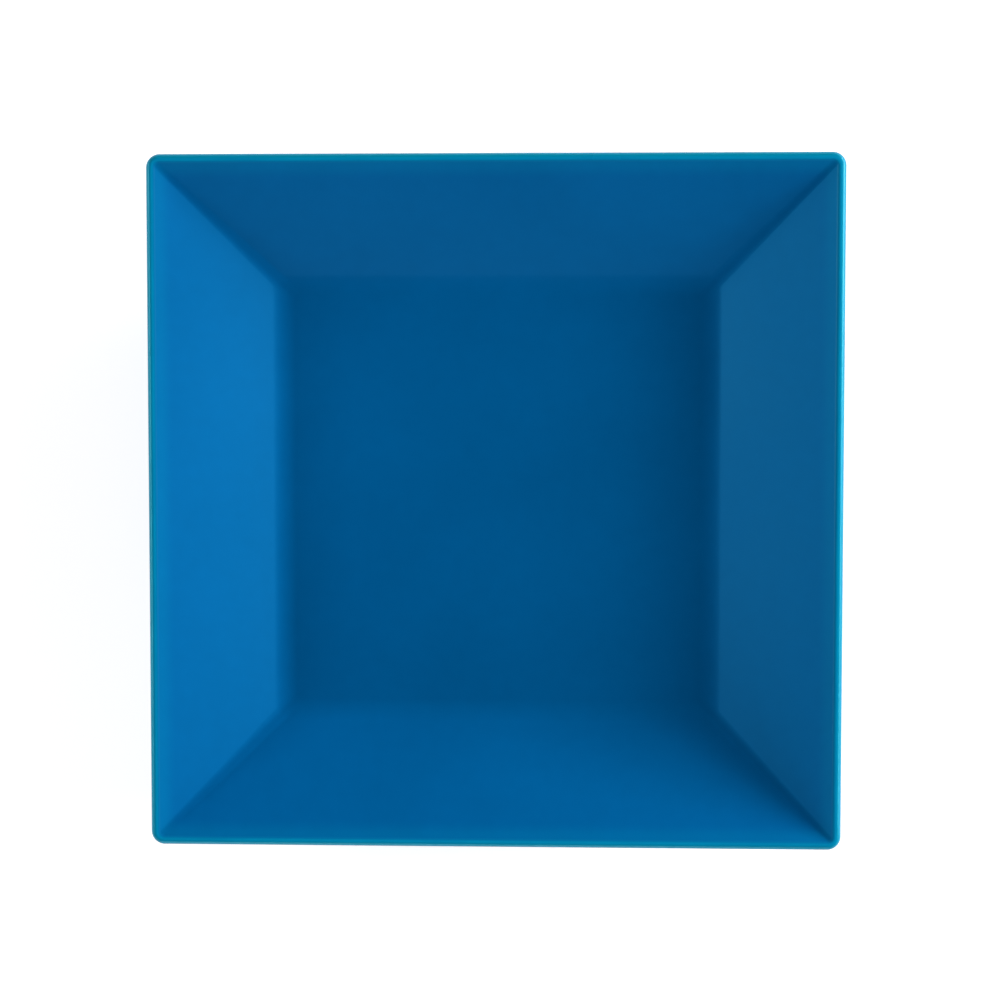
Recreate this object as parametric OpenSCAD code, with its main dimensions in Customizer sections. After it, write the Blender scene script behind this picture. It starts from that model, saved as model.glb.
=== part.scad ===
// Square plate with sloping walls, a rounded lip and a low foot ring.
// The clay body is formed and fired in one piece, and the glaze lies on it in four coats:
// on the food side, over the lip, on the outside and inside the foot ring.
// The origin is the middle of the plate on the table, with +Z up. Sizes are in millimetres.

/* [Plate] */
// Side of the plate, across the lip
plate_side = 254; // [220:1:320]
// Height of the lip above the table
plate_height = 34; // [26:1:44]
// Corner radius of the lip, seen from above
lip_corner_r = 5; // [4.5:0.5:16]
// Thickness of the rounded lip
lip_t = 4.2; // [3.4:0.1:5.4]

/* [Well] */
// Side of the floor, where the slope of the walls would meet it
floor_side = 160; // [120:1:190]
// Corner radius of the flat floor, seen from above
floor_corner_r = 3; // [1:0.5:8]
// Radius of the valley between two walls at its foot, seen from above
valley_r = 4.5; // [3:0.5:12]
// Radius of the hollow where the floor turns up into the walls
floor_hollow_r = 16; // [4:0.5:20]
// Thickness of the floor
floor_t = 5; // [4:0.1:7]

/* [Base] */
// Distance that the base reaches out past the edge of the floor above it
base_reach = 0.5; // [0:0.1:3]
// Corner radius of the base, seen from above
base_corner_r = 9.5; // [7:0.5:20]
// Radius of the rounded edge where the base turns up into the walls
heel_r = 8; // [2:0.5:12]

/* [Foot ring] */
// Distance from the edge of the floor in to the outside of the ring
foot_inset = 5; // [4:0.5:20]
// Height of the ring
foot_h = 3; // [2.4:0.1:6]
// Width of the ring
foot_w = 5; // [4:0.1:9]
// Corner radius of the outside of the ring, seen from above
foot_corner_r = 14; // [9:0.5:30]
// Radius of the hollow where the ring meets the base
foot_root_r = 1.2; // [0.6:0.1:1.5]
// Width of the bevel on the two lower edges of the ring
foot_bevel = 0.6; // [0.2:0.1:0.8]

/* [Glaze] */
// Thickness of the glaze
glaze_t = 0.4; // [0.2:0.05:0.6]

/* [Facets] */
// Turn from one flat of a rounded part to the next, in degrees
facet_angle = 15; // [10, 15, 18, 30]

/* [Hidden] */

glaze_colour = [0.0, 0.33, 0.55];
lip_colour = [0.05, 0.51, 0.66];
clay_colour = [0.87, 0.85, 0.80];

// Depth that the cut of the foot's recess runs on below the table
cut_past = 1;

// Heights of the underside and of the floor
base_z = foot_h;
floor_z = base_z + floor_t;

// The section is seen across one wall: x is the distance from the middle, y is the height.
floor_edge = [floor_side / 2, floor_z];
base_edge = [floor_side / 2 + base_reach, base_z];
lip_r = lip_t / 2;
lip_at = [plate_side / 2 - lip_r, plate_height - lip_r];

// Slopes of the two faces of a wall, each of which runs into the round of the lip
inner_slope = slope_to_lip(floor_edge, 1);
outer_slope = slope_to_lip(base_edge, -1);

// Centres of the rounded parts of the section
floor_hollow_at = floor_edge + floor_hollow_r * [-tan(inner_slope / 2), 1];
heel_at = base_edge + heel_r * [-tan(outer_slope / 2), 1];
foot_out = floor_side / 2 - foot_inset;
foot_in = foot_out - foot_w;
outer_root_at = [foot_out + foot_root_r, base_z - foot_root_r];
inner_root_at = [foot_in - foot_root_r, base_z - foot_root_r];

// Distances from the middle to the centres of the corners, seen from above
lip_corner_at = plate_side / 2 - lip_corner_r;
floor_corner_at = floor_hollow_at.x - floor_corner_r;
valley_corner_at = floor_hollow_at.x + floor_hollow_r * sin(inner_slope) - valley_r;
base_corner_at = base_edge.x - base_corner_r;
foot_corner_at = foot_out - foot_corner_r;

// Slope of the line from a point of the section that touches the lip above (1) or below (-1)
function slope_to_lip(from, side) =
    let (way = lip_at - from)
    atan2(way.y, way.x) + side * asin(lip_r / norm(way));

// Points of the section along an arc, each with the place of its corner centre, which may
// shift outwards along the arc
function section_arc(centre, r, from, to, corner_at, corner_shift = 0) =
    let (steps = ceil(abs(to - from) / facet_angle))
    [for (i = [0:steps])
        let (share = i / steps, a = from + (to - from) * share)
        [centre.x + r * cos(a), centre.y + r * sin(a), corner_at + corner_shift * share]];

// Rounded parts of the section, from the floor over the lip to the foot. The glazed surface
// is at an inset of 0, and the clay under it at an inset of the glaze's thickness.
function floor_hollow(inset) =
    section_arc(floor_hollow_at, floor_hollow_r + inset, -90, inner_slope - 90,
                floor_corner_at, valley_corner_at - floor_corner_at);
function lip_round(inset) =
    section_arc(lip_at, lip_r - inset, inner_slope + 90, outer_slope - 90, lip_corner_at);
function heel_round(inset) =
    section_arc(heel_at, heel_r - inset, outer_slope - 90, -90, base_corner_at);
function outer_root(inset) =
    section_arc(outer_root_at, foot_root_r + inset, 90, 180, foot_corner_at);
function inner_root(inset) =
    section_arc(inner_root_at, foot_root_r + inset, 0, 90, foot_corner_at);

function first(list) = list[0];
function last(list) = list[len(list) - 1];
function reversed(list) = [for (i = [len(list) - 1:-1:0]) list[i]];

// Surfaces that the coats of glaze cover
function face_side(inset) = concat(floor_hollow(inset), [first(lip_round(inset))]);
function outer_side(inset) = concat([last(lip_round(inset))], heel_round(inset), outer_root(inset));

// Level ring of points through one point of the section: a square with round corners
function level_ring(point) =
    let (half = point[0], z = point[1], corner_at = point[2], r = half - corner_at)
    [for (quarter = [0:3], turn = [0:facet_angle:90])
        let (a = 90 * quarter + turn, diagonal = 90 * quarter + 45)
        [corner_at * sqrt(2) * cos(diagonal) + r * cos(a),
         corner_at * sqrt(2) * sin(diagonal) + r * sin(a), z]];

// Solid through the rings of a section that starts at its top. It is closed by flat ends,
// or, where the section is a loop, by the last ring running on into the first.
module ring_solid(section, loop = false) {
    rings = [for (point = section) level_ring(point)];
    around = len(rings[0]);
    count = len(rings);
    bands = loop ? count : count - 1;
    sides = [for (i = [0:bands - 1], j = [0:around - 1])
        let (low = i * around, high = ((i + 1) % count) * around, next = (j + 1) % around)
        each [[low + j, low + next, high + next], [low + j, high + next, high + j]]];
    ends = loop ? [] : [reversed([for (j = [0:around - 1]) j]),
                        [for (j = [0:around - 1]) (count - 1) * around + j]];
    polyhedron([for (ring = rings) each ring], concat(sides, ends), convexity = 4);
}

// One-piece fired clay: floor, walls, lip and foot ring
module clay_body() {
    color(clay_colour)
    difference() {
        ring_solid(concat(
            floor_hollow(glaze_t),
            lip_round(glaze_t),
            heel_round(glaze_t),
            outer_root(glaze_t),
            [[foot_out - glaze_t, foot_bevel, foot_corner_at],
             [foot_out - glaze_t - foot_bevel, 0, foot_corner_at]]));
        foot_recess();
    }
}

// Shallow hollow inside the foot ring
module foot_recess() {
    mouth = foot_in + glaze_t + foot_bevel;
    ring_solid(concat(
        reversed(inner_root(glaze_t)),
        [[foot_in + glaze_t, foot_bevel, foot_corner_at],
         [mouth, 0, foot_corner_at],
         [mouth, -cut_past, foot_corner_at]]));
}

// Coat on the floor and the insides of the walls
module face_glaze() {
    color(glaze_colour)
    ring_solid(concat(face_side(0), reversed(face_side(glaze_t))));
}

// Thin coat that wraps the rounded lip
module lip_glaze() {
    color(lip_colour)
    ring_solid(concat(lip_round(0), reversed(lip_round(glaze_t))), loop = true);
}

// Coat on the outsides of the walls and the base, down to the root of the foot ring
module outside_glaze() {
    color(glaze_colour)
    ring_solid(concat(outer_side(0), reversed(outer_side(glaze_t))), loop = true);
}

// Coat on the base inside the foot ring
module base_glaze() {
    color(glaze_colour)
    ring_solid(concat(reversed(inner_root(glaze_t)), inner_root(0)));
}

clay_body();
face_glaze();
lip_glaze();
outside_glaze();
base_glaze();
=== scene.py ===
import math

import bmesh
import bpy
from mathutils import Matrix, Vector, noise


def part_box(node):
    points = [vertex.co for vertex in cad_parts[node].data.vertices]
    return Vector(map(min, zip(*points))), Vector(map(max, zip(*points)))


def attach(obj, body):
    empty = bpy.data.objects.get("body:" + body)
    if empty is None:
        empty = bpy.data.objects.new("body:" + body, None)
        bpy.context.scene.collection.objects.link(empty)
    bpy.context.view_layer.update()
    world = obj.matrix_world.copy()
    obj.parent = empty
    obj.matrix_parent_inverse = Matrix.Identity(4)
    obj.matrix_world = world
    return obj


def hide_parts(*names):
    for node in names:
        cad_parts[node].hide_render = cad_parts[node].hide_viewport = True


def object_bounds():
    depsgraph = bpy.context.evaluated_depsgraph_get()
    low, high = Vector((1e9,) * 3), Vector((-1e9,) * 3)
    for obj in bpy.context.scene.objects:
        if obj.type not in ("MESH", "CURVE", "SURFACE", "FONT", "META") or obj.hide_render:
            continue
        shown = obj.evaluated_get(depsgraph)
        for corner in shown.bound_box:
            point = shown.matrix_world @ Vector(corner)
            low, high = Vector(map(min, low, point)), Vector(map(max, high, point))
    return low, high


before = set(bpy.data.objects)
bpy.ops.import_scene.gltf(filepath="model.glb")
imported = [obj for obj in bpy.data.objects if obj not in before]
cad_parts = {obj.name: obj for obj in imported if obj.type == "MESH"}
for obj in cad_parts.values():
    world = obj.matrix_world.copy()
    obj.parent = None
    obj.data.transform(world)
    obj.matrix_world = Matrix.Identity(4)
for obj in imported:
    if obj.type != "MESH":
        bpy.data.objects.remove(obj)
cadLow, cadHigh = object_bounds()
mm = 0.001
print("frame loaded with", len(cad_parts), "nodes")


# Form of the plate, shared by the clay and the coats of glaze on it
plateForm = {
    "floorHalf": 80 * mm,        # from the middle to where the slope of the walls would meet the floor
    "floorCornerR": 3 * mm,
    "valleyR": 4.5 * mm,         # between two walls, where they rise from the floor
    "hollowR": 16 * mm,          # where the floor turns up into the walls
    "lipR": 2.1 * mm,
    "lipCornerR": 5 * mm,
    "lipStart": 0.4 * mm,        # how far down the wall the thin glaze of the lip begins
    "baseReach": 0.5 * mm,
    "baseCornerR": 9.5 * mm,
    "heelR": 8 * mm,
    "footWidth": 5 * mm,
    "footCornerR": 14 * mm,
    "footRound": 0.7 * mm,
    "cornerSegments": 14,
    "sideCuts": 27,
    "support": 0.3 * mm,         # ring beside each end of a rounded part, which keeps the flats flat
    "firstRing": 0.04,           # size of the innermost ring of a floor, as a share of the floor
    "sharpAngle": math.radians(40),
    "mergeWithin": 0.001 * mm,
}

# Small unevenness of a plate that has been through the kiln
kilnWarp = {
    "sag": 0.25 * mm,            # of the floor, at its middle
    "twist": 0.2 * mm,           # of the corners, two up and two down
    "wave": 0.16 * mm,           # of the walls and the lip
    "waveSize": 70 * mm,
    "waveSeed": Vector((3.1, 7.4, 1.7)),
}

halfSide = cadHigh.x
lipTop = cadHigh.z
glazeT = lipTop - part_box("clay_body")[1].z
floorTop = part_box("face_glaze")[0].z + glazeT
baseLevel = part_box("base_glaze")[1].z - glazeT
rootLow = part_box("base_glaze")[0].z
rootR = baseLevel - rootLow
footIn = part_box("base_glaze")[1].x - glazeT
footOut = footIn + plateForm["footWidth"]

# The section is seen across one wall: x is the distance from the middle, y is the height
floorEdge = Vector((plateForm["floorHalf"], floorTop))
baseEdge = Vector((plateForm["floorHalf"] + plateForm["baseReach"], baseLevel))
lipAt = Vector((halfSide - plateForm["lipR"], lipTop - plateForm["lipR"]))
lipCornerAt = halfSide - plateForm["lipCornerR"]
baseCornerAt = baseEdge.x - plateForm["baseCornerR"]
footCornerAt = footOut - plateForm["footCornerR"]


def slopeToLip(start, side):
    way = lipAt - start
    return math.atan2(way.y, way.x) + side * math.asin(plateForm["lipR"] / way.length)


innerSlope = slopeToLip(floorEdge, 1)
outerSlope = slopeToLip(baseEdge, -1)
hollowAt = floorEdge + plateForm["hollowR"] * Vector((-math.tan(innerSlope / 2), 1))
heelAt = baseEdge + plateForm["heelR"] * Vector((-math.tan(outerSlope / 2), 1))
floorCornerAt = hollowAt.x - plateForm["floorCornerR"]
valleyCornerAt = hollowAt.x + plateForm["hollowR"] * math.sin(innerSlope) - plateForm["valleyR"]
quarter = math.pi / 2


# A station of the section is (half width, height, place of the corner's centre)
def arcStations(centre, r, start, end, cornerAt, steps, cornerShift=0.0):
    stations = []
    for i in range(steps + 1):
        turn = start + (end - start) * i / steps
        corner = cornerAt + cornerShift * i / steps
        stations.append((centre.x + r * math.cos(turn), centre.y + r * math.sin(turn), corner))
    return stations


def between(a, b, share):
    return tuple(p + (q - p) * share for p, q in zip(a, b))


# Stations inside a straight run, with a support ring close to each end
def runStations(a, b, steps):
    edge = plateForm["support"] / math.dist(a[:2], b[:2])
    shares = [edge] + [i / steps for i in range(1, steps)] + [1 - edge]
    return [between(a, b, share) for share in shares]


def floorStations(level, reach, cornerAt, steps):
    whole = [(reach * i / steps, level, cornerAt * i / steps) for i in range(1, steps)]
    return [between((0, level, 0), (reach, level, cornerAt), plateForm["firstRing"])] + whole


# Rounded parts of the section: the glazed surface has an inset of 0, the clay under it one glaze thickness
def hollowRound(inset, steps=16):
    shift = valleyCornerAt - floorCornerAt
    r = plateForm["hollowR"] + inset
    return arcStations(hollowAt, r, -quarter, innerSlope - quarter, floorCornerAt, steps, shift)


def lipRound(inset, steps=24):
    r = plateForm["lipR"] - inset
    return arcStations(lipAt, r, innerSlope + quarter, outerSlope - quarter, lipCornerAt, steps)


def heelRound(inset, steps=12):
    r = plateForm["heelR"] - inset
    return arcStations(heelAt, r, outerSlope - quarter, -quarter, baseCornerAt, steps)


def outerRoot(inset, steps=8):
    centre = Vector((footOut + rootR, baseLevel - rootR))
    return arcStations(centre, rootR + inset, quarter, 2 * quarter, footCornerAt, steps)


def innerRoot(inset, steps=8):
    centre = Vector((footIn - rootR, baseLevel - rootR))
    return arcStations(centre, rootR + inset, 0, quarter, footCornerAt, steps)


# Point on a wall a little way before the lip's round, where one coat gives way to the next
def lipStartOn(roundEnd, wallFoot):
    return between(roundEnd, wallFoot, plateForm["lipStart"] / math.dist(roundEnd[:2], wallFoot[:2]))


def startRing(bm, station):
    half, level, cornerAt = station
    corners = bmesh.ops.create_grid(bm, x_segments=1, y_segments=1, size=half)["verts"]
    bmesh.ops.translate(bm, verts=corners, vec=(0, 0, level))
    bmesh.ops.bevel(
        bm, geom=corners, offset=half - cornerAt, offset_type="OFFSET",
        segments=plateForm["cornerSegments"], profile=0.5, affect="VERTICES", material=-1)
    sides = [edge for edge in bm.edges if edge.calc_length() > cornerAt]
    bmesh.ops.subdivide_edges(bm, edges=sides, cuts=plateForm["sideCuts"])
    bmesh.ops.delete(bm, geom=bm.faces[:], context="FACES_ONLY")
    return bm.edges[:]


def placeOnRing(value, here, there):
    size = abs(value)
    if size > here[2]:
        size = there[2] + (size - here[2]) * (there[0] - there[2]) / (here[0] - here[2])
    else:
        size = size * there[2] / here[2]
    return math.copysign(size, value)


def growRing(bm, ring, here, there):
    made = bmesh.ops.extrude_edge_only(bm, edges=ring)["geom"]
    verts = {part for part in made if isinstance(part, bmesh.types.BMVert)}
    for vert in verts:
        vert.co = (placeOnRing(vert.co.x, here, there), placeOnRing(vert.co.y, here, there), there[1])
    edges = [part for part in made if isinstance(part, bmesh.types.BMEdge)]
    return [edge for edge in edges if verts.issuperset(edge.verts)]


# Skin through the stations, closed by a cap at each end or, as a loop, by bridging the last ring to the first
def ringSkin(stations, loop=False):
    bm = bmesh.new()
    first = startRing(bm, stations[0])
    ring = first
    for here, there in zip(stations, stations[1:]):
        ring = growRing(bm, ring, here, there)
    if loop:
        bmesh.ops.bridge_loops(bm, edges=first + ring)
    else:
        bmesh.ops.edgeloop_fill(bm, edges=first)
        bmesh.ops.edgeloop_fill(bm, edges=ring)
    return bm


def unevenness(place):
    across = Vector((place.x, place.y, 0)) / kilnWarp["waveSize"] + kilnWarp["waveSeed"]
    rise = max(0.0, min(1.0, (place.z - floorTop) / (lipTop - floorTop)))
    lift = rise * kilnWarp["wave"] * noise.noise(across)
    lift += rise * kilnWarp["twist"] * place.x * place.y / halfSide**2
    if max(abs(place.x), abs(place.y)) < footIn:
        dip = (1 - (place.x / footIn) ** 2) * (1 - (place.y / footIn) ** 2)
        lift -= kilnWarp["sag"] * dip**2
    return Vector((0, 0, lift))


def makePiece(name, bm, node, material):
    bmesh.ops.remove_doubles(bm, verts=bm.verts[:], dist=plateForm["mergeWithin"])
    for vert in bm.verts:
        vert.co += unevenness(vert.co)
    bmesh.ops.recalc_face_normals(bm, faces=bm.faces[:])
    for face in bm.faces:
        face.smooth = True
    mesh = bpy.data.meshes.new(name)
    bm.to_mesh(mesh)
    bm.free()
    mesh.set_sharp_from_angle(angle=plateForm["sharpAngle"])
    mesh.materials.append(material)
    piece = bpy.data.objects.new(name, mesh)
    bpy.context.scene.collection.objects.link(piece)
    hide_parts(node)
    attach(piece, "root")
    print(name, "has", len(mesh.polygons), "faces")


# Helpers for the shader nodes
def addNode(tree, kind, settings=None, **inputs):
    made = tree.nodes.new(kind)
    for key, value in (settings or {}).items():
        setattr(made, key, value)
    for key, value in inputs.items():
        setInput(tree, made, key.replace("_", " "), value)
    return made


def setInput(tree, node, name, value):
    socket = node.inputs[int(name)] if name.isdigit() else node.inputs[name]
    if isinstance(value, bpy.types.NodeSocket):
        tree.links.new(value, socket)
    else:
        socket.default_value = value


def maths(tree, operation, a, b=None, c=None):
    made = tree.nodes.new("ShaderNodeMath")
    made.operation = operation
    for index, value in enumerate((a, b, c)):
        if value is not None:
            setInput(tree, made, str(index), value)
    return made.outputs[0]


def ramp(tree, value, low, high, outLow=0.0, outHigh=1.0):
    made = addNode(tree, "ShaderNodeMapRange", {"interpolation_type": "SMOOTHSTEP"}, Value=value)
    for name, number in (("From Min", low), ("From Max", high), ("To Min", outLow), ("To Max", outHigh)):
        made.inputs[name].default_value = number
    return made.outputs["Result"]


def mixColour(tree, share, a, b, blend="MIX"):
    made = addNode(tree, "ShaderNodeMix", {"data_type": "RGBA", "blend_type": blend})
    for index, value in ((0, share), (6, a), (7, b)):
        setInput(tree, made, str(index), value)
    return made.outputs[2]


def newGroup(name, inputs, outputs):
    tree = bpy.data.node_groups.new(name, "ShaderNodeTree")
    for socketName, kind, value in inputs:
        socket = tree.interface.new_socket(socketName, in_out="INPUT", socket_type=kind)
        if value is not None:
            socket.default_value = value
    for socketName, kind in outputs:
        tree.interface.new_socket(socketName, in_out="OUTPUT", socket_type=kind)
    start = tree.nodes.new("NodeGroupInput")
    end = tree.nodes.new("NodeGroupOutput")
    return tree, start.outputs, end.inputs


def useGroup(tree, group, **inputs):
    return addNode(tree, "ShaderNodeGroup", {"node_tree": group}, **inputs).outputs


def newMaterial(name):
    material = bpy.data.materials.new(name)
    material.use_nodes = True
    tree = material.node_tree
    place = addNode(tree, "ShaderNodeTexCoord").outputs["Object"]
    return material, tree, tree.nodes["Principled BSDF"], place


# Value about a middle level, which a pattern from 0 to 1 moves up and down by the spread
def varied(tree, pattern, spread, middle):
    offMiddle = maths(tree, "SUBTRACT", pattern, 0.5)
    return maths(tree, "MULTIPLY_ADD", offMiddle, 2 * spread, middle)


# Clouds and fine mottle of a fired glaze, each from 0 to 1 about 0.5
def makeGlazeClouds():
    tree, given, out = newGroup(
        "glazeClouds",
        [("Place", "NodeSocketVector", None), ("Cloud Size", "NodeSocketFloat", 0.05),
         ("Mottle Size", "NodeSocketFloat", 0.004)],
        [("Clouds", "NodeSocketFloat"), ("Mottle", "NodeSocketFloat")])
    cloudScale = maths(tree, "DIVIDE", 1.0, given["Cloud Size"])
    mottleScale = maths(tree, "DIVIDE", 1.0, given["Mottle Size"])
    clouds = addNode(tree, "ShaderNodeTexNoise", Vector=given["Place"], Scale=cloudScale, Detail=2.0)
    mottle = addNode(tree, "ShaderNodeTexNoise", Vector=given["Place"], Scale=mottleScale, Detail=1.0)
    tree.links.new(clouds.outputs[0], out["Clouds"])
    tree.links.new(mottle.outputs[0], out["Mottle"])
    return tree


plateZone = {
    "edgeFull": 0.3 * mm,        # inside the outermost line of the lip, where the edge's share is whole
    "valleyCore": 0.3 * mm,      # off the diagonal, where a valley's share is whole
    "valleyEnd": 2.6 * mm,       # off the diagonal, where it has gone
    "wallStart": -8 * mm,        # from the edge of the floor, where the valleys begin
    "wallFull": 3 * mm,
}


# Where on the plate a point is: near the lip, out on its edge, or in the valley of a corner
def makePlateZones():
    tree, given, out = newGroup(
        "plateZones",
        [("Place", "NodeSocketVector", None), ("Lip Fade", "NodeSocketFloat", 0.008)],
        [("Near Lip", "NodeSocketFloat"), ("Edge", "NodeSocketFloat"), ("Valley", "NodeSocketFloat")])
    place = addNode(tree, "ShaderNodeSeparateXYZ", Vector=given["Place"])
    across = maths(tree, "ABSOLUTE", place.outputs["X"])
    along = maths(tree, "ABSOLUTE", place.outputs["Y"])
    square = maths(tree, "MAXIMUM", across, along)
    lower = maths(tree, "MINIMUM", across, along)
    # the reach out of the middle follows the round corners of the lip
    pastSide = maths(tree, "MAXIMUM", maths(tree, "SUBTRACT", square, lipCornerAt), 0.0)
    pastCorner = maths(tree, "MAXIMUM", maths(tree, "SUBTRACT", lower, lipCornerAt), 0.0)
    cornerSquare = maths(tree, "MULTIPLY", pastCorner, pastCorner)
    squares = maths(tree, "MULTIPLY_ADD", pastSide, pastSide, cornerSquare)
    rounding = maths(tree, "SUBTRACT", maths(tree, "SQRT", squares), pastSide)
    reach = maths(tree, "ADD", square, rounding)
    lipR, floorHalf = plateForm["lipR"], plateForm["floorHalf"]
    lipInner = halfSide - 2 * lipR
    fadeStart = maths(tree, "SUBTRACT", lipInner, given["Lip Fade"])
    lipShare = maths(tree, "DIVIDE", maths(tree, "SUBTRACT", reach, fadeStart), given["Lip Fade"])
    outward = ramp(tree, reach, lipInner, halfSide - plateZone["edgeFull"])
    upward = ramp(tree, place.outputs["Z"], lipTop - 2 * lipR, lipTop - lipR)
    offDiagonal = maths(tree, "SUBTRACT", square, lower)
    inValley = ramp(tree, offDiagonal, plateZone["valleyCore"], plateZone["valleyEnd"], 1.0, 0.0)
    onWall = ramp(tree, square, floorHalf + plateZone["wallStart"], floorHalf + plateZone["wallFull"])
    tree.links.new(ramp(tree, lipShare, 0.0, 1.0), out["Near Lip"])
    tree.links.new(maths(tree, "MULTIPLY", outward, upward), out["Edge"])
    tree.links.new(maths(tree, "MULTIPLY", inValley, onWall), out["Valley"])
    return tree


# Height of the glaze's skin in metres: fine orange peel and the slow flow of the glaze
def makeGlazeSkin():
    tree, given, out = newGroup(
        "glazeSkin",
        [("Place", "NodeSocketVector", None), ("Peel Depth", "NodeSocketFloat", 0.000004),
         ("Flow Depth", "NodeSocketFloat", 0.00005), ("Peel Scale", "NodeSocketFloat", 450.0),
         ("Flow Scale", "NodeSocketFloat", 40.0)],
        [("Height", "NodeSocketFloat")])
    peel = addNode(tree, "ShaderNodeTexNoise", Vector=given["Place"], Scale=given["Peel Scale"], Detail=2.0)
    flow = addNode(tree, "ShaderNodeTexNoise", Vector=given["Place"], Scale=given["Flow Scale"], Detail=1.0)
    peelHeight = maths(tree, "MULTIPLY", peel.outputs[0], given["Peel Depth"])
    height = maths(tree, "MULTIPLY_ADD", flow.outputs[0], given["Flow Depth"], peelHeight)
    tree.links.new(height, out["Height"])
    return tree


glazeClouds = makeGlazeClouds()
plateZones = makePlateZones()
glazeSkin = makeGlazeSkin()

blueGlaze = {
    "colour": (0.0, 0.114, 0.335, 1.0),
    "pooled": (0.0, 0.094, 0.285, 1.0),        # where the glaze runs together and lies thick
    "thin": (0.0, 0.165, 0.385, 1.0),          # where it breaks towards the lip
    "cloudSize": 55 * mm,
    "cloudDepth": 0.10,
    "mottleSize": 5 * mm,
    "mottleDepth": 0.04,
    "lipFade": 5 * mm,                         # width of the strip beside the lip where it thins
    "thinShare": 0.5,                          # how far it thins there
    "facePooled": 0.5,                         # how far it pools in the valleys of the food side
    "outsidePooled": 0.0,
    "roughness": 0.36,
    "roughnessSpread": 0.05,
    "specular": 0.35,
    "specularTint": (0.0, 0.5, 1.0, 1.0),
}


def makeBlueGlaze(name, poolShare):
    material, tree, shader, place = newMaterial(name)
    clouds = useGroup(tree, glazeClouds, Place=place,
                      Cloud_Size=blueGlaze["cloudSize"], Mottle_Size=blueGlaze["mottleSize"])
    zones = useGroup(tree, plateZones, Place=place, Lip_Fade=blueGlaze["lipFade"])
    pooled = maths(tree, "MULTIPLY", zones["Valley"], poolShare)
    thinned = maths(tree, "MULTIPLY", zones["Near Lip"], blueGlaze["thinShare"])
    colour = mixColour(tree, pooled, blueGlaze["colour"], blueGlaze["pooled"])
    colour = mixColour(tree, thinned, colour, blueGlaze["thin"])
    shade = varied(tree, clouds["Clouds"], blueGlaze["cloudDepth"], 1.0)
    shade = varied(tree, clouds["Mottle"], blueGlaze["mottleDepth"], shade)
    level = addNode(tree, "ShaderNodeCombineColor")
    for index in range(3):
        setInput(tree, level, str(index), shade)
    setInput(tree, shader, "Base Color", mixColour(tree, 1.0, colour, level.outputs[0], "MULTIPLY"))
    rough = varied(tree, clouds["Clouds"], blueGlaze["roughnessSpread"], blueGlaze["roughness"])
    setInput(tree, shader, "Roughness", rough)
    shader.inputs["Specular IOR Level"].default_value = blueGlaze["specular"]
    shader.inputs["Specular Tint"].default_value = blueGlaze["specularTint"]
    skin = useGroup(tree, glazeSkin, Place=place)
    bump = addNode(tree, "ShaderNodeBump", Height=skin["Height"], Strength=1.0, Distance=1.0)
    setInput(tree, shader, "Normal", bump.outputs["Normal"])
    return material


lipThinGlaze = {
    "colour": (0.0, 0.14, 0.36, 1.0),          # beside the wall, as the blue glaze there
    "thinCrestPaintedLight": (0.0, 0.28, 0.52, 1.0),            # over the crest: partly thinner glaze, partly painted light that lifts the shade of the up-facing crest
    "thinCrestPaintedLightRise": (0.1, 0.5),                    # places across the lip: 0 at the wall, 1 out on the edge
    "thinEdgePaintedLight": (0.0, 0.24, 0.38, 1.0),            # out on the edge: partly thinner glaze, partly painted light for the brightly lit outer edge of the lip
    "thinEdgePaintedLightRise": (0.6, 0.9),
    "leastShare": 0.75,                        # of both, where the glaze lies thickest
    "cloudSize": 30 * mm,
    "cloudRange": (0.3, 0.7),
    "wallRoughness": 0.36,                     # where the lip runs on from the wall
    "roughness": 0.26,
    "roughnessRise": (0.0, 0.3),
    "roughnessSpread": 0.04,
    "specular": 0.45,
    "specularTint": (0.12, 0.8, 1.0, 1.0),
}


def makeLipGlaze():
    material, tree, shader, place = newMaterial("lipThinGlaze")
    clouds = useGroup(tree, glazeClouds, Place=place, Cloud_Size=lipThinGlaze["cloudSize"])
    zones = useGroup(tree, plateZones, Place=place)
    broken = ramp(tree, clouds["Clouds"], *lipThinGlaze["cloudRange"], 1.0, lipThinGlaze["leastShare"])
    # The crest and the outer edge of the lip are made lighter: partly thinner glaze, partly painted light
    thinCrestPaintedLightShare = maths(tree, "MULTIPLY", ramp(tree, zones["Edge"], *lipThinGlaze["thinCrestPaintedLightRise"]), broken)
    thinEdgePaintedLightShare = maths(tree, "MULTIPLY", ramp(tree, zones["Edge"], *lipThinGlaze["thinEdgePaintedLightRise"]), broken)
    colour = mixColour(tree, thinCrestPaintedLightShare, lipThinGlaze["colour"], lipThinGlaze["thinCrestPaintedLight"])
    setInput(tree, shader, "Base Color", mixColour(tree, thinEdgePaintedLightShare, colour, lipThinGlaze["thinEdgePaintedLight"]))
    level = ramp(tree, zones["Edge"], *lipThinGlaze["roughnessRise"],
                 lipThinGlaze["wallRoughness"], lipThinGlaze["roughness"])
    rough = varied(tree, clouds["Clouds"], lipThinGlaze["roughnessSpread"], level)
    setInput(tree, shader, "Roughness", rough)
    shader.inputs["Specular IOR Level"].default_value = lipThinGlaze["specular"]
    shader.inputs["Specular Tint"].default_value = lipThinGlaze["specularTint"]
    skin = useGroup(tree, glazeSkin, Place=place)
    bump = addNode(tree, "ShaderNodeBump", Height=skin["Height"], Strength=1.0, Distance=1.0)
    setInput(tree, shader, "Normal", bump.outputs["Normal"])
    return material


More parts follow.
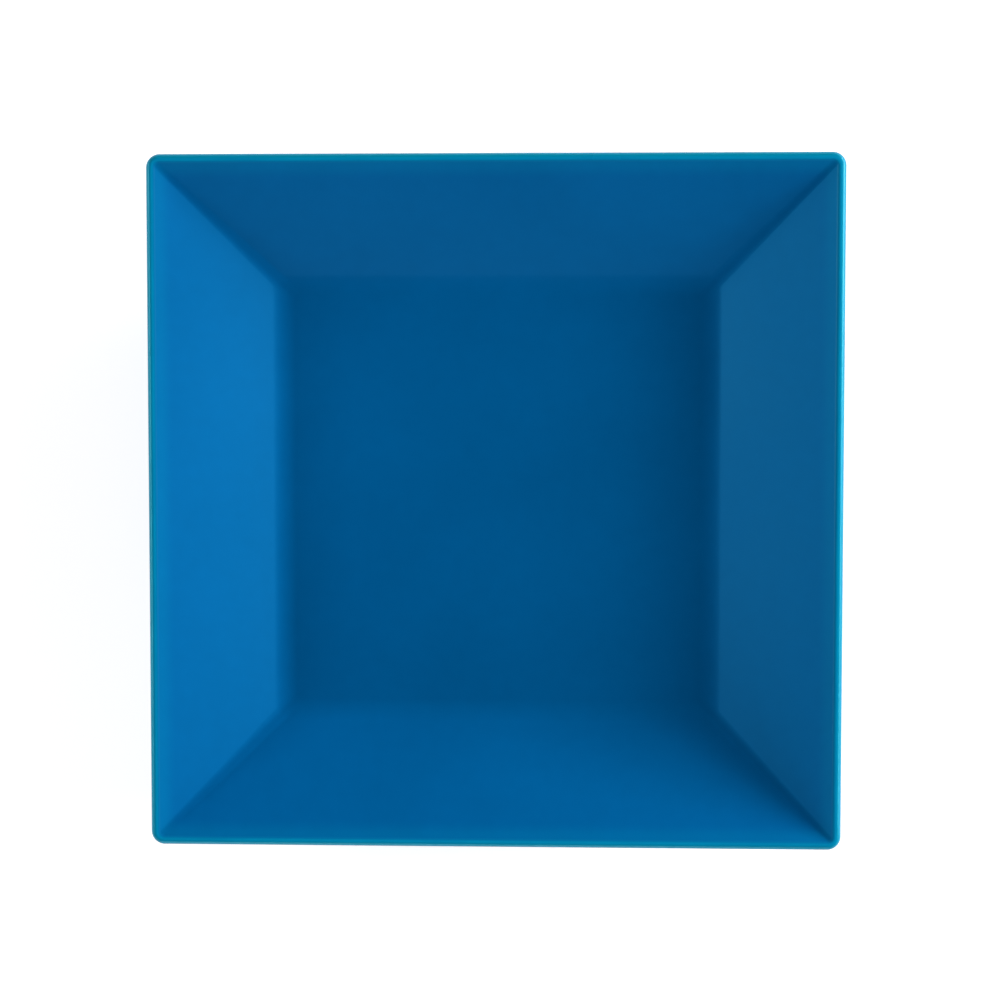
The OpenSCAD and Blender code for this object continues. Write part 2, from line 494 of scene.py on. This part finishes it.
bareClay = {
    "colour": (0.80, 0.755, 0.68, 1.0),
    "dark": (0.60, 0.54, 0.46, 1.0),
    "worn": (0.70, 0.66, 0.60, 1.0),
    "blotchScale": 70.0,
    "blotchRange": (0.3, 0.75),
    "blotchShare": 0.35,
    "grainScale": 1400.0,
    "grainRange": (0.52, 0.75),
    "grainShare": 0.5,
    "grainDepth": 0.06 * mm,
    "grainStrength": 0.6,
    "gritScale": 700.0,
    "gritRange": (0.0, 0.12),
    "gritShare": 0.6,
    "wornRange": (0.05 * mm, 0.5 * mm),        # heights above the table between which the wear ends
    "wornShare": 0.5,
    "roughness": 0.85,
    "wornRoughness": 0.7,
}


def makeBareClay():
    material, tree, shader, place = newMaterial("bareStoneware")
    blotch = addNode(tree, "ShaderNodeTexNoise", Vector=place, Scale=bareClay["blotchScale"], Detail=3.0)
    grain = addNode(tree, "ShaderNodeTexNoise", Vector=place, Scale=bareClay["grainScale"], Detail=4.0)
    grit = addNode(tree, "ShaderNodeTexVoronoi", Vector=place, Scale=bareClay["gritScale"])
    height = addNode(tree, "ShaderNodeSeparateXYZ", Vector=place).outputs["Z"]
    onTable = ramp(tree, height, *bareClay["wornRange"], 1.0, 0.0)
    blotches = ramp(tree, blotch.outputs[0], *bareClay["blotchRange"], 0.0, bareClay["blotchShare"])
    grains = ramp(tree, grain.outputs[0], *bareClay["grainRange"], 0.0, bareClay["grainShare"])
    specks = ramp(tree, grit.outputs["Distance"], *bareClay["gritRange"], bareClay["gritShare"], 0.0)
    colour = bareClay["colour"]
    for share in (blotches, grains, specks):
        colour = mixColour(tree, share, colour, bareClay["dark"])
    wear = maths(tree, "MULTIPLY", onTable, bareClay["wornShare"])
    setInput(tree, shader, "Base Color", mixColour(tree, wear, colour, bareClay["worn"]))
    rough = ramp(tree, onTable, 0.0, 1.0, bareClay["roughness"], bareClay["wornRoughness"])
    setInput(tree, shader, "Roughness", rough)
    bump = addNode(tree, "ShaderNodeBump", Height=grain.outputs[0],
                   Strength=bareClay["grainStrength"], Distance=bareClay["grainDepth"])
    setInput(tree, shader, "Normal", bump.outputs["Normal"])
    return material


faceBlue = makeBlueGlaze("faceBlueGlaze", blueGlaze["facePooled"])
outsideBlue = makeBlueGlaze("outsideBlueGlaze", blueGlaze["outsidePooled"])
lipTeal = makeLipGlaze()
stoneware = makeBareClay()
print("materials made")


# Clay in one piece: floor, walls, core of the lip, and the bare foot ring that stands on the table
clayRings = {
    "floor": 6,
    "hollow": 8,
    "wall": 6,
    "lip": 16,
    "heel": 8,
    "base": 2,
    "footEdge": 6,
    "footFace": 3,
}


def makeClayBody():
    inset = glazeT
    hollow, lip = hollowRound(inset, clayRings["hollow"]), lipRound(inset, clayRings["lip"])
    heel, root, inner = heelRound(inset, clayRings["heel"]), outerRoot(inset), innerRoot(inset)
    footR = plateForm["footRound"]
    outerEdge = Vector((footOut - inset - footR, footR))
    innerEdge = Vector((footIn + inset + footR, footR))
    footSide = arcStations(outerEdge, footR, 0, -quarter, footCornerAt, clayRings["footEdge"])
    footHeel = arcStations(innerEdge, footR, -quarter, -2 * quarter, footCornerAt, clayRings["footEdge"])
    stations = floorStations(hollow[0][1], hollow[0][0], floorCornerAt, clayRings["floor"])
    stations += hollow + runStations(hollow[-1], lip[0], clayRings["wall"])
    stations += lip + runStations(lip[-1], heel[0], clayRings["wall"])
    stations += heel + runStations(heel[-1], root[0], clayRings["base"]) + root + footSide
    stations += runStations(footSide[-1], footHeel[0], clayRings["footFace"]) + footHeel + inner
    stations += reversed(floorStations(inner[-1][1], inner[-1][0], footCornerAt, clayRings["floor"]))
    makePiece("clayBody", ringSkin(stations), "clay_body", stoneware)


# Coat on the food side, over the floor and up the walls to the lip
faceRings = {"floor": 10, "hollow": 16, "wall": 14, "lastOnFloor": 0.97}
faceBackRings = {"floor": 6, "hollow": 8, "wall": 6, "lastOnFloor": 0.97}


def makeFaceGlaze():
    def side(inset, rings):
        hollow = hollowRound(inset, rings["hollow"])
        end = lipStartOn(lipRound(inset)[0], hollow[-1])
        floor = floorStations(hollow[0][1], hollow[0][0], floorCornerAt, rings["floor"])
        floor.append(between(floor[-1], hollow[0], rings["lastOnFloor"]))
        return floor + hollow + runStations(hollow[-1], end, rings["wall"]) + [end]
    stations = side(0, faceRings) + side(glazeT, faceBackRings)[::-1]
    makePiece("faceGlaze", ringSkin(stations), "face_glaze", faceBlue)


# Thin coat round the lip
lipRings = {"front": 24, "back": 12}


def makeLipPiece():
    def side(inset, steps):
        lip = lipRound(inset, steps)
        start = lipStartOn(lip[0], hollowRound(inset)[-1])
        end = lipStartOn(lip[-1], heelRound(inset)[0])
        return [start] + lip + [end]
    stations = side(0, lipRings["front"]) + side(glazeT, lipRings["back"])[::-1]
    makePiece("lipGlaze", ringSkin(stations, loop=True), "lip_glaze", lipTeal)


# Coat on the outsides of the walls and under the base, which ends in a bead at the root of the foot ring
outsideRings = {"wall": 14, "heel": 12, "base": 2}
outsideBackRings = {"wall": 6, "heel": 8, "base": 2}
beadSteps = 8


def makeOutsideGlaze():
    def side(inset, rings):
        heel, root = heelRound(inset, rings["heel"]), outerRoot(inset)
        start = lipStartOn(lipRound(inset)[-1], heel[0])
        wall = [start] + runStations(start, heel[0], rings["wall"])
        return wall + heel + runStations(heel[-1], root[0], rings["base"]) + root
    beadAt = Vector((footOut - glazeT / 2, rootLow))
    bead = arcStations(beadAt, glazeT / 2, 0, -2 * quarter, footCornerAt, beadSteps)[1:-1]
    stations = side(0, outsideRings) + bead + side(glazeT, outsideBackRings)[::-1]
    skin = ringSkin(stations, loop=True)
    makePiece("outsideGlaze", skin, "outside_glaze", outsideBlue)


# Coat on the base inside the foot ring, with its own bead
baseRings = {"front": 8, "back": 6}


def makeBaseGlaze():
    surface, back = innerRoot(0)[::-1], innerRoot(glazeT)
    beadAt = Vector((footIn + glazeT / 2, rootLow))
    bead = arcStations(beadAt, glazeT / 2, -2 * quarter, 0, footCornerAt, beadSteps)[1:-1]
    stations = floorStations(surface[0][1], surface[0][0], footCornerAt, baseRings["front"])
    stations += surface + bead + back
    stations += reversed(floorStations(back[-1][1], back[-1][0], footCornerAt, baseRings["back"]))
    makePiece("baseGlaze", ringSkin(stations), "base_glaze", outsideBlue)


makeClayBody()
makeFaceGlaze()
makeLipPiece()
makeOutsideGlaze()
makeBaseGlaze()
print("pieces made")


# White sweep that the plate stands on. It keeps a soft shadow of the plate, and stays white far off
studioFloor = {
    "half": 4.0,
    "colour": (0.85, 0.85, 0.85, 1.0),
    "grain": (0.80, 0.80, 0.80, 1.0),
    "glow": 0.64,
    "farGlow": 1.0,
    "farStart": 0.5,             # metres from the plate
    "far": 2.5,
    "grainScale": 900.0,
    "grainRange": (0.3, 0.7),
    "grainShare": 0.03,
}


def makeStudioFloor():
    material = bpy.data.materials.new("whiteSweep")
    material.use_nodes = True
    tree = material.node_tree
    tree.nodes.clear()
    path = addNode(tree, "ShaderNodeLightPath").outputs
    seen = maths(tree, "MAXIMUM", path["Is Camera Ray"], path["Is Glossy Ray"])
    seen = maths(tree, "MAXIMUM", seen, path["Is Transmission Ray"])
    place = addNode(tree, "ShaderNodeTexCoord").outputs["Object"]
    paper = addNode(tree, "ShaderNodeTexNoise", Vector=place, Scale=studioFloor["grainScale"], Detail=2.0)
    speckle = ramp(tree, paper.outputs[0], *studioFloor["grainRange"], 0.0, studioFloor["grainShare"])
    colour = mixColour(tree, speckle, studioFloor["colour"], studioFloor["grain"])
    diffuse = addNode(tree, "ShaderNodeBsdfDiffuse", Color=colour)
    away = addNode(tree, "ShaderNodeVectorMath", {"operation": "LENGTH"}, Vector=place).outputs["Value"]
    level = ramp(tree, away, studioFloor["farStart"], studioFloor["far"],
                 studioFloor["glow"], studioFloor["farGlow"])
    glow = addNode(tree, "ShaderNodeEmission", Strength=maths(tree, "MULTIPLY", seen, level))
    both = addNode(tree, "ShaderNodeAddShader")
    tree.links.new(diffuse.outputs[0], both.inputs[0])
    tree.links.new(glow.outputs[0], both.inputs[1])
    end = addNode(tree, "ShaderNodeOutputMaterial")
    tree.links.new(both.outputs[0], end.inputs["Surface"])
    bm = bmesh.new()
    bmesh.ops.create_grid(bm, x_segments=1, y_segments=1, size=studioFloor["half"])
    mesh = bpy.data.meshes.new("studioFloor")
    bm.to_mesh(mesh)
    bm.free()
    mesh.materials.append(material)
    floor = bpy.data.objects.new("studioFloor", mesh)
    bpy.context.scene.collection.objects.link(floor)


# Soft boxes round the table, each given by where it stands, its height angle and its size
softBoxes = {
    "keyRight": {"turn": 22, "height": 13, "away": 2.0, "size": (1.6, 0.5), "watts": 45.7},
    "highRight": {"turn": 0, "height": 26, "away": 2.0, "size": (1.0, 0.5), "watts": 21.8},
    "fillLeft": {"turn": 175, "height": 27, "away": 2.0, "size": (1.2, 0.5), "watts": 18.9},
    "fillFront": {"turn": 260, "height": 14, "away": 2.0, "size": (1.4, 0.5), "watts": 10.6},
}
surround = {"backdrop": 1.0, "backdropTop": 0.04, "ceilingStart": 0.45, "ceiling": 0.06}


def makeSoftBox(name, settings):
    turn, height = math.radians(settings["turn"]), math.radians(settings["height"])
    towards = Vector((math.cos(height) * math.cos(turn), math.cos(height) * math.sin(turn), math.sin(height)))
    light = bpy.data.lights.new(name, "AREA")
    light.shape = "RECTANGLE"
    light.size, light.size_y = settings["size"]
    light.energy = settings["watts"]
    lamp = bpy.data.objects.new(name, light)
    lamp.location = towards * settings["away"]
    lamp.rotation_euler = towards.to_track_quat("Z", "Y").to_euler()
    bpy.context.scene.collection.objects.link(lamp)


# White backdrop at eye level, which gives way to a dim ceiling
def makeSurround():
    world = bpy.data.worlds.new("studioSurround")
    bpy.context.scene.world = world
    world.use_nodes = True
    tree = world.node_tree
    place = addNode(tree, "ShaderNodeTexCoord").outputs["Generated"]
    upward = addNode(tree, "ShaderNodeSeparateXYZ", Vector=place).outputs["Z"]
    strength = ramp(tree, upward, surround["backdropTop"], surround["ceilingStart"],
                    surround["backdrop"], surround["ceiling"])
    setInput(tree, tree.nodes["Background"], "Color", (1.0, 1.0, 1.0, 1.0))
    setInput(tree, tree.nodes["Background"], "Strength", strength)


# Camera nearly straight above the plate, with the top of the picture towards +Y
photoView = {
    "eye": Vector((45, 60, 942)) * mm,
    "aim": Vector((1.5, 0.1, 17)) * mm,
    "lens": 90.0,
    "sensor": 36.0,
    "clip": (0.01, 50.0),
}


def makeCamera():
    camera = bpy.data.cameras.new("photoCamera")
    camera.lens = photoView["lens"]
    camera.sensor_width = photoView["sensor"]
    camera.clip_start, camera.clip_end = photoView["clip"]
    back = (photoView["eye"] - photoView["aim"]).normalized()
    right = Vector((0, 1, 0)).cross(back).normalized()
    turned = Matrix((right, back.cross(right), back)).transposed()
    holder = bpy.data.objects.new("photoCamera", camera)
    holder.matrix_world = Matrix.Translation(photoView["eye"]) @ turned.to_4x4()
    bpy.context.scene.collection.objects.link(holder)
    bpy.context.scene.camera = holder


makeStudioFloor()
for boxName, boxSettings in softBoxes.items():
    makeSoftBox(boxName, boxSettings)
makeSurround()
makeCamera()
bpy.context.scene.view_settings.view_transform = "Standard"
print("studio made")
